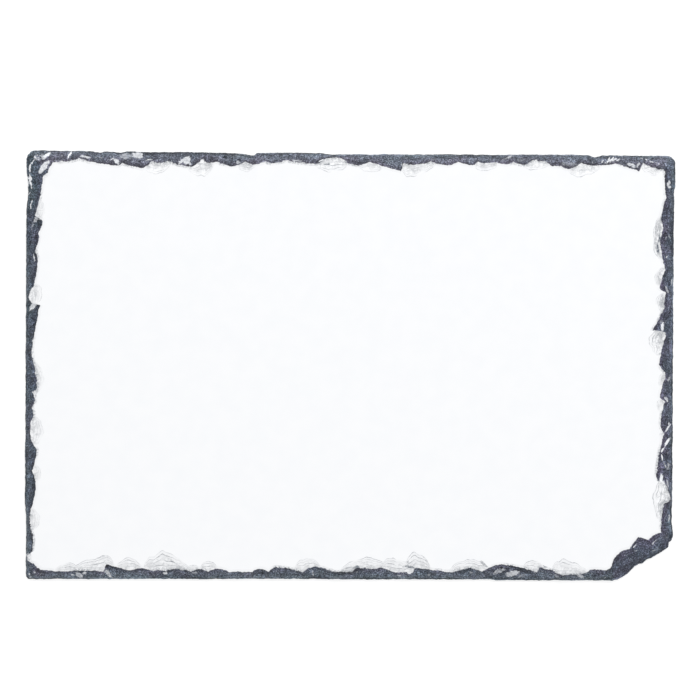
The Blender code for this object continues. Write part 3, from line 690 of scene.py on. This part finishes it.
def set_ring(face, row, layers):
    """Puts the corners of a face on one row, with the row's numbers for the materials."""
    for column, corner in enumerate(face.loops):
        vert = corner.vert
        here = (x[row, column] - middle_x, y[row, column] - middle_y, height[row, column])
        vert.co = Vector(here) * MM
        for name, layer in layers.items():
            vert[layer] = FIELDS[name][row, column]


def cut_into_squares(bm, faces):
    """Cuts the flat back along both ways, and returns the corners that this makes inside it."""
    rim = {vert for face in faces for vert in face.verts}
    for axis, reach in ((0, slab_high.x), (1, slab_high.y)):
        count = math.floor(2 * reach / MM / BACK_SQUARE)
        for index in range(1, count):
            at, along = Vector(), Vector()
            at[axis] = -reach + 2 * reach * index / count
            along[axis] = 1
            edges = {edge for face in faces for edge in face.edges}
            verts = {vert for face in faces for vert in face.verts}
            cut = bmesh.ops.bisect_plane(bm, geom=[*faces, *edges, *verts], plane_co=at, plane_no=along)
            faces = [item for item in cut["geom"] if isinstance(item, bmesh.types.BMFace)]
    inner = {vert for face in faces for vert in face.verts if not vert.is_boundary} - rim
    return faces, inner


bm = bmesh.new()
layers = {name: bm.verts.layers.float.new(name) for name in FIELDS}
bmesh.ops.create_circle(bm, cap_ends=True, radius=MM, segments=x.shape[1])
bm.faces.ensure_lookup_table()
top = bm.faces[0]
set_ring(top, 0, layers)
for row in range(1, x.shape[0]):
    top = bmesh.ops.extrude_discrete_faces(bm, faces=[top])["faces"][0]
    set_ring(top, row, layers)
filled = bmesh.ops.holes_fill(bm, edges=[edge for edge in bm.edges if edge.is_boundary], sides=0)["faces"]
bmesh.ops.recalc_face_normals(bm, faces=bm.faces)
back_faces, back_verts = cut_into_squares(bm, filled)
for vert in back_verts:
    if all(face in back_faces for face in vert.link_faces):
        here = vert.co / MM
        swell_up = BACK_SWELL * max(0, 0.3 + noise.noise(here / 34) + 0.5 * noise.noise(here / 12))
        vert.co.z = round(swell_up / BACK_LEAF * 2) / 2 * BACK_LEAF * MM
for face in back_faces:
    face.material_index = 1
slab_mesh = bpy.data.meshes.new("dressed_slate")
bm.to_mesh(slab_mesh)
triangles = sum(len(face.verts) - 2 for face in bm.faces)
bm.free()
slab_mesh.shade_smooth()
slab_mesh.set_sharp_from_angle(angle=math.radians(SHARP_ANGLE))
slab = place("dressed_slate", slab_mesh)
print("slab:", len(slab_mesh.vertices), "points,", triangles, "triangles,", len(back_faces), "back faces")

# %% [markdown]
# ## Placing nodes
#
# A material is a small diagram, and one helper, add, keeps each of its boxes to one line: it adds a node,
# sets its options, and gives each input a value or a link. Another, spread, does the sum that materials use
# most: it moves one range of values onto another, with soft ends. The others are short names for what is
# needed often.

# %% Node helpers


def new_material(name):
    """A material and its diagram."""
    material = bpy.data.materials.new(name)
    material.use_nodes = True
    return material, material.node_tree


def fill(tree, node, inputs):
    """Gives a node's inputs their values or links."""
    for name, value in inputs.items():
        if isinstance(value, bpy.types.NodeSocket):
            tree.links.new(value, node.inputs[name])
        else:
            node.inputs[name].default_value = value


def add(tree, kind, inputs=None, **options):
    """Adds a node, sets its options and fills its inputs."""
    node = tree.nodes.new(kind)
    for name, value in options.items():
        setattr(node, name, value)
    fill(tree, node, inputs or {})
    return node


def fill_shader(tree, looks, height, strength, depth):
    """Fills the inputs of a material's shader, with a bump of this depth in millimetres."""
    bump = add(tree, "ShaderNodeBump", {"Height": height, "Strength": strength, "Distance": depth * MM})
    fill(tree, tree.nodes["Principled BSDF"], {"Metallic": 0, "Normal": bump.outputs["Normal"], **looks})


def spread(tree, value, from_low, from_high, to_low=0.0, to_high=1.0, soft=True):
    """Moves a range of values onto another."""
    ends = {"Value": value, "From Min": from_low, "From Max": from_high, "To Min": to_low, "To Max": to_high}
    kind = "SMOOTHSTEP" if soft else "LINEAR"
    return add(tree, "ShaderNodeMapRange", ends, interpolation_type=kind).outputs["Result"]


def reckon(tree, operation, first, second):
    """A sum, product or other operation on two values."""
    return add(tree, "ShaderNodeMath", {0: first, 1: second}, operation=operation).outputs[0]


def product(tree, *factors):
    """Several values multiplied."""
    so_far = factors[0]
    for factor in factors[1:]:
        so_far = reckon(tree, "MULTIPLY", so_far, factor)
    return so_far


def blend(tree, share, first, second):
    """Mixes two colours."""
    node = add(tree, "ShaderNodeMix", {0: share, 6: first, 7: second}, data_type="RGBA")
    return node.outputs[2]


def shade(tree, colour, factor, strength=1.0):
    """Makes a colour lighter or darker, and stronger or weaker, by factors."""
    ends = {"Color": colour, "Value": factor, "Saturation": strength}
    return add(tree, "ShaderNodeHueSaturation", ends).outputs["Color"]


def grain(tree, position, scale, detail=2.0, rough=0.5):
    """Noise with lumps of about 1 / scale metres."""
    ends = {"Vector": position, "Scale": scale, "Detail": detail, "Roughness": rough}
    return add(tree, "ShaderNodeTexNoise", ends).outputs["Fac"]


def attribute(tree, name):
    """A number that the mesh carries."""
    return add(tree, "ShaderNodeAttribute", attribute_name=name).outputs["Fac"]


print("helpers for diagrams: add, fill, spread, reckon, product, blend, shade, grain, attribute")

# %% [markdown]
# ## Bare slate
#
# Freshly broken slate is a dark blue-grey with teal and purple in it, finely grained, with thin leaves where
# the break cuts across them and here and there a bright speck of mica, whose sparkle is a painted glint. Most
# grains are dark and a few are bright, so a power bends the even noise that way; this contrast is partly the
# stone's own grain and partly painted glints and shade of small facets. The edge and the back both show it,
# so it is a node group that is built once. It reads a position and gives a colour, a roughness and a height.

# %% The stone's tint
TEAL_STONE = (0.098, 0.127, 0.152, 1)
BLUE_STONE = (0.105, 0.122, 0.160, 1)
PURPLE_STONE = (0.118, 0.112, 0.158, 1)
# painted glint: colour of the bright mica specks
MICA_GLINT = (0.54, 0.59, 0.66, 1)


def stone_tint(tree, position, purple):
    """Clouds of teal, blue and purple."""
    clouds = spread(tree, grain(tree, position, 120, 4, 0.6), 0, 1, 0.17, 0.83, soft=False)
    tint = add(tree, "ShaderNodeValToRGB", {"Fac": reckon(tree, "ADD", clouds, purple)})
    stops = tint.color_ramp.elements
    stops[0].position, stops[0].color = 0.32, TEAL_STONE
    stops[1].position, stops[1].color = 0.70, PURPLE_STONE
    middle_stop = stops.new(0.5)
    middle_stop.color = BLUE_STONE
    return tint.outputs["Color"]


# %% The slate group
INPUTS = {"Position": "Vector", "Lightness": "Float", "Leaf share": "Float", "Purple": "Float"}
OUTPUTS = {"Colour": "Color", "Roughness": "Float", "Height": "Float"}


def make_slate_group():
    tree = bpy.data.node_groups.new("bare slate", "ShaderNodeTree")
    for name, kind in INPUTS.items():
        tree.interface.new_socket(name=name, in_out="INPUT", socket_type="NodeSocket" + kind)
    for name, kind in OUTPUTS.items():
        tree.interface.new_socket(name=name, in_out="OUTPUT", socket_type="NodeSocket" + kind)
    given = add(tree, "NodeGroupInput").outputs
    position = given["Position"]

    fine = grain(tree, position, 1500, 3, 0.7)
    stretched = add(tree, "ShaderNodeMapping", {"Vector": position, "Scale": (45, 45, 1100)})
    leaves = grain(tree, stretched.outputs["Vector"], 1, 2)
    leaves = product(tree, reckon(tree, "SUBTRACT", leaves, 0.5), given["Leaf share"])
    both = reckon(tree, "ADD", fine, leaves)
    # partly the stone's own grain, partly painted glints and shade of small facets
    bright = reckon(tree, "POWER", spread(tree, both, 0.36, 0.68), 2.1)
    factor = product(tree, spread(tree, bright, 0, 1, 0.48, 2.65, soft=False), given["Lightness"])
    stone = shade(tree, stone_tint(tree, position, given["Purple"]), factor)

    # painted glints of mica specks
    cells = add(tree, "ShaderNodeTexVoronoi", {"Vector": position, "Scale": 1300})
    near = spread(tree, cells.outputs["Distance"], 0.08, 0.32, 1, 0)
    rich = spread(tree, grain(tree, position, 420, 2), 0.44, 0.62)
    colour = blend(tree, product(tree, near, rich, 0.85), stone, MICA_GLINT)

    rough = spread(tree, both, 0.35, 0.7, 0.72, 0.5)
    out = add(tree, "NodeGroupOutput", {"Colour": colour, "Roughness": rough, "Height": both})
    out.is_active_output = True
    return tree


slate_group = make_slate_group()
print("group:", slate_group.name, len(slate_group.nodes), "nodes")

# %% [markdown]
# ## The coated face and its bare edge
#
# One material covers the face and the edge, because the place where the coating ends is a ragged line that
# is finer than the mesh. The vertices know their distance to that line, noise frays it, and the result
# chooses between white and stone. In the bare band the stone has painted shade along the outline and just
# under the coating, painted light on what stands out and painted shade where it sinks. The darker sides
# are made bluer, as painted shade lit by the sky. The stone's leaves show most on the upright foot, where
# the break cuts straight across them. The pale marks lie on it: a weak one is patchy and dull, a strong
# one white.
#
# In the hollows the coating has grey patches of painted shade, and fine crumpled lines of painted shade.
# It is a little greyer where it rounds off at its edge, a painted shade, with dark dust in places. The
# painted shade lines at the hollows' steps and the dark marks' lines are drawn dark, and the noise breaks
# them up.

# %% The bare band
DULL_FLAKE = (0.42, 0.44, 0.48, 1)
# strong pale marks: the white of coating remains and scratches, and partly a painted glint of clean flakes
WHITE_MARK_AND_GLINT = (0.82, 0.84, 0.87, 1)


def bare_band(tree, position, across, stone):
    """The stone's colour across the band, with painted shade and painted light in it."""
    # painted shade: darker along the outline, where the band falls steeply
    outer = spread(tree, across, 0.02, 0.3, 0.76, 1.04)
    # painted shade: darker, unevenly, just under the coating's edge
    shade_under_coating = spread(tree, grain(tree, position, 60, 2), 0.4, 0.6, 0.45, 0.92)
    inner = spread(tree, across, 0.6, 1, 1, shade_under_coating)
    # painted light and shade: lighter where the stone stands out, darker where it sinks
    relief_light_and_shade = spread(tree, attribute(tree, "relief"), -0.42, 0.42, 0.62, 1.40, soft=False)
    broad = spread(tree, grain(tree, position, 210, 2), 0.32, 0.68, 0.78, 1.24)
    # each side's lightness: partly the stone's own tone, partly painted shade
    side_tone_and_shade = attribute(tree, "side_tone_and_shade")
    # painted shade: the darker sides are made bluer, as shade lit by the sky
    painted_shade_saturation = spread(tree, side_tone_and_shade, 0.7, 1.08, 1.26, 0.9, soft=False)
    factor = product(tree, product(tree, outer, inner), product(tree, relief_light_and_shade, broad), side_tone_and_shade)
    return shade(tree, stone.outputs["Colour"], factor, painted_shade_saturation)


def pale_marks(tree, position, fray, bare):
    """Lays the pale marks over the stone."""
    ragged = reckon(tree, "ADD", attribute(tree, "pale"), product(tree, fray, 2.2))
    strength = attribute(tree, "pale_strength")
    squared = product(tree, strength, strength)
    speckle = spread(tree, grain(tree, position, 800, 2), 0.36, 0.64, -1.2, 1.2, soft=False)
    uneven = product(tree, speckle, reckon(tree, "SUBTRACT", strength, squared))
    patchy = add(tree, "ShaderNodeMath", {0: strength, 1: uneven}, operation="ADD", use_clamp=True)
    mark_colour = blend(tree, squared, DULL_FLAKE, WHITE_MARK_AND_GLINT)
    mark_colour = shade(tree, mark_colour, spread(tree, fray, -0.2, 0.1, 0.84, 1.04))
    return blend(tree, product(tree, spread(tree, ragged, -0.05, 0.5), patchy.outputs[0]), bare, mark_colour)


# %% The coating
CLEAN_COAT = (0.848, 0.858, 0.876, 1)
WHITE_COAT = (0.862, 0.869, 0.883, 1)
# grey of the painted shade in the hollows
HOLLOW_SHADE_GREY = (0.61, 0.62, 0.635, 1)
DUST = (0.20, 0.22, 0.25, 1)
# dark of the painted shade lines at the steps, and of the dark marks' lines
STEP_SHADE_AND_DARK_LINE = (0.13, 0.15, 0.18, 1)


def coating_with_hollow_shade(tree, position, mottle, hollow_shade):
    """The coating's white, with grey patches of painted shade in the hollows."""
    white = blend(tree, spread(tree, mottle, 0.3, 0.7), CLEAN_COAT, WHITE_COAT)
    hollow_shade_patches = product(tree, hollow_shade, spread(tree, grain(tree, position, 450, 3), 0.40, 0.60, 0.0, 0.8))
    return blend(tree, hollow_shade_patches, white, HOLLOW_SHADE_GREY)


def coating_edge(tree, position, coated, patches, white):
    """The coating near where it ends: painted shade on its rounded edge, and dust sprayed in places."""
    near = product(tree, spread(tree, coated, 0.0, 1.6, 1, 0), patches)
    specks = spread(tree, grain(tree, position, 1300, 3, 0.7), 0.40, 0.60, 0, 0.8)
    # painted shade: the coating is a little darker where it rounds off at its edge
    edge_shaded_white = shade(tree, white, spread(tree, coated, 0.2, COAT_CLEAR, 0.945, 1, soft=False))
    return blend(tree, product(tree, near, specks), edge_shaded_white, DUST)


def draw_step_shade_and_dark_lines(tree, position, fray, hollow_shade, white):
    """Draws painted shade lines at the hollows' steps and fine crumpled ones, and the dark marks' lines."""
    # painted shade lines at the hollows' steps, with the dark marks' lines
    step_shade_and_dark_lines = product(tree, attribute(tree, "step_shade_and_dark_lines"), spread(tree, fray, -0.16, 0.12, 0.5, 1.15))
    # painted shade of fine crumpled lines in the hollows
    away = reckon(tree, "ABSOLUTE", reckon(tree, "SUBTRACT", grain(tree, position, 300, 3), 0.5), 0)
    crumple_shade = product(tree, spread(tree, away, 0.0, 0.05, 1, 0), reckon(tree, "MINIMUM", hollow_shade, 1))
    return blend(tree, reckon(tree, "MAXIMUM", step_shade_and_dark_lines, product(tree, crumple_shade, 0.36)), white, STEP_SHADE_AND_DARK_LINE)


# %% The coated material
BAND_STONE = 0.9  # lightness of the stone in the band
FOOT_LEAVES = 0.85  # how strongly the leaves show on the upright foot
SLOPE_LEAVES = 0.22
SPECULAR = 0.25


def make_coated_material():
    material, tree = new_material("coated_slate")
    position = add(tree, "ShaderNodeTexCoord").outputs["Object"]
    fray = reckon(tree, "SUBTRACT", grain(tree, position, 1150, 3, 0.6), 0.5)
    coarse = reckon(tree, "SUBTRACT", grain(tree, position, 420, 2), 0.5)
    patches = spread(tree, grain(tree, position, 70, 2), 0.47, 0.6)
    mottle = grain(tree, position, 130, 3)
    coated = attribute(tree, "coated")
    hollow_shade = attribute(tree, "hollow_shade")

    across = attribute(tree, "across")
    leaves = spread(tree, across, 0.0, 0.25, FOOT_LEAVES, SLOPE_LEAVES)
    given = {"Position": position, "Lightness": BAND_STONE, "Leaf share": leaves}
    given["Purple"] = attribute(tree, "purple")
    stone = add(tree, "ShaderNodeGroup", given, node_tree=slate_group)
    marked_stone = pale_marks(tree, position, fray, bare_band(tree, position, across, stone))
    coat = coating_with_hollow_shade(tree, position, mottle, hollow_shade)
    coat = coating_edge(tree, position, coated, patches, coat)
    coat = draw_step_shade_and_dark_lines(tree, position, fray, hollow_shade, coat)

    frays = product(tree, reckon(tree, "ADD", fray, coarse), spread(tree, patches, 0, 1, 0.7, 1.4))
    covered = spread(tree, reckon(tree, "ADD", coated, frays), -0.16, 0.14)
    uncovered = reckon(tree, "SUBTRACT", 1, covered)
    colour = blend(tree, covered, marked_stone, coat)
    satin = product(tree, spread(tree, mottle, 0.35, 0.65, 0.3, 0.36), covered)
    rough = reckon(tree, "ADD", product(tree, stone.outputs["Roughness"], uncovered), satin)
    coat_height = product(tree, covered, spread(tree, mottle, 0, 1, 0.62, 0.7, soft=False))
    height = reckon(tree, "ADD", product(tree, stone.outputs["Height"], uncovered), coat_height)
    looks = {"Base Color": colour, "Roughness": rough, "IOR": 1.5, "Specular IOR Level": SPECULAR}
    fill_shader(tree, looks, height, 0.6, 0.35)
    return material


coated_material = make_coated_material()
print("material:", coated_material.name, len(coated_material.node_tree.nodes), "nodes")

# %% [markdown]
# ## The split back
#
# The back is as the slate was split: broad, slightly stepped, dull and a little lighter than the broken edge,
# with dust in patches. It uses the same group with its own values.

# %% The back's material
BACK_STONE = 1.1
BACK_LEAVES = 0.2
BACK_DUST = (0.24, 0.25, 0.27, 1)


def make_back_material():
    material, tree = new_material("split_slate")
    position = add(tree, "ShaderNodeTexCoord").outputs["Object"]
    given = {"Position": position, "Lightness": BACK_STONE, "Leaf share": BACK_LEAVES}
    stone = add(tree, "ShaderNodeGroup", given, node_tree=slate_group)
    dust = spread(tree, grain(tree, position, 26, 5, 0.6), 0.5, 0.72, 0, 0.4)
    colour = blend(tree, dust, stone.outputs["Colour"], BACK_DUST)
    steps = reckon(tree, "SNAP", grain(tree, position, 22, 4), 0.055)
    height = reckon(tree, "ADD", product(tree, stone.outputs["Height"], 0.25), product(tree, steps, 4))
    fill_shader(tree, {"Base Color": colour, "Roughness": stone.outputs["Roughness"]}, height, 0.7, 0.3)
    return material


slab_mesh.materials.append(coated_material)
slab_mesh.materials.append(make_back_material())
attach(slab, "root")
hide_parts("slate_slab")
print("slots:", [material.name for material in slab_mesh.materials])

# %% [markdown]
# ## Floor, light and camera
#
# The slab lies on a white light table, as in a product photograph: a floor that glows a little, so that it
# stays white around the dark edge. It lets the view through from below, so that the back can be looked at.
# A white sky gives most of the light, and a large soft box beyond the top side and to its right gives the
# relief. The camera hangs high above with a long lens, and looks straight down. Sizes are in metres here.

# %% Floor
FLOOR_RADIUS = 4.0
FLOOR_GAP = 0.0002
TABLE_GREY = (0.47, 0.47, 0.47, 1)
TABLE_GLOW = 0.66
WHITE = (1, 1, 1, 1)

bm = bmesh.new()
bmesh.ops.create_circle(bm, cap_ends=True, radius=FLOOR_RADIUS, segments=96)
bmesh.ops.translate(bm, verts=bm.verts, vec=(0, 0, -FLOOR_GAP))
floor_mesh = bpy.data.meshes.new("light_table")
bm.to_mesh(floor_mesh)
bm.free()
floor = place("light_table", floor_mesh)

glow, tree = new_material("light_table")
table_shader = tree.nodes["Principled BSDF"]
looks = {"Base Color": TABLE_GREY, "Roughness": 0.9, "Emission Color": WHITE, "Emission Strength": TABLE_GLOW}
fill(tree, table_shader, looks)
clear = add(tree, "ShaderNodeBsdfTransparent")
from_below = add(tree, "ShaderNodeNewGeometry").outputs["Backfacing"]
either = add(tree, "ShaderNodeMixShader", {0: from_below, 1: table_shader.outputs[0], 2: clear.outputs[0]})
tree.links.new(either.outputs[0], tree.nodes["Material Output"].inputs["Surface"])
floor_mesh.materials.append(glow)
print("floor:", 2 * FLOOR_RADIUS, "m across")

# %% Light
SKY = 0.8
BOX_PLACE = Vector((0.6, 1.55, 2.3))
BOX_SIZE = 1.2
BOX_POWER = 34.0

sky = bpy.data.worlds.new("white_sky")
sky.use_nodes = True
fill(sky.node_tree, sky.node_tree.nodes["Background"], {"Color": WHITE, "Strength": SKY})
bpy.context.scene.world = sky
soft_box = bpy.data.lights.new("soft_box", "AREA")
soft_box.size = BOX_SIZE
soft_box.energy = BOX_POWER
soft_box_object = place("soft_box", soft_box)
soft_box_object.location = BOX_PLACE
soft_box_object.rotation_euler = (-BOX_PLACE).to_track_quat("-Z", "Y").to_euler()
soft_box_object.visible_camera = False
bpy.context.scene.view_settings.view_transform = "Standard"
print("soft box", round(BOX_PLACE.length, 2), "m away")

# %% Camera
VIEW_MIDDLE = (-0.33, 7.34)  # millimetres: the middle of the picture, before the slab was centred
VIEW_WIDTH = 323.27  # millimetres: width of the picture at the height of the outline
CAMERA_HEIGHT = 3.0

camera = bpy.data.cameras.new("camera")
camera.sensor_width = 36
camera.lens = camera.sensor_width * (CAMERA_HEIGHT - FOOT * MM) / (VIEW_WIDTH * MM)
camera.clip_end = 10
camera_object = place("camera", camera)
camera_object.location = ((VIEW_MIDDLE[0] - middle_x) * MM, (VIEW_MIDDLE[1] - middle_y) * MM, CAMERA_HEIGHT)
bpy.context.scene.camera = camera_object
print("lens", round(camera.lens), "mm")
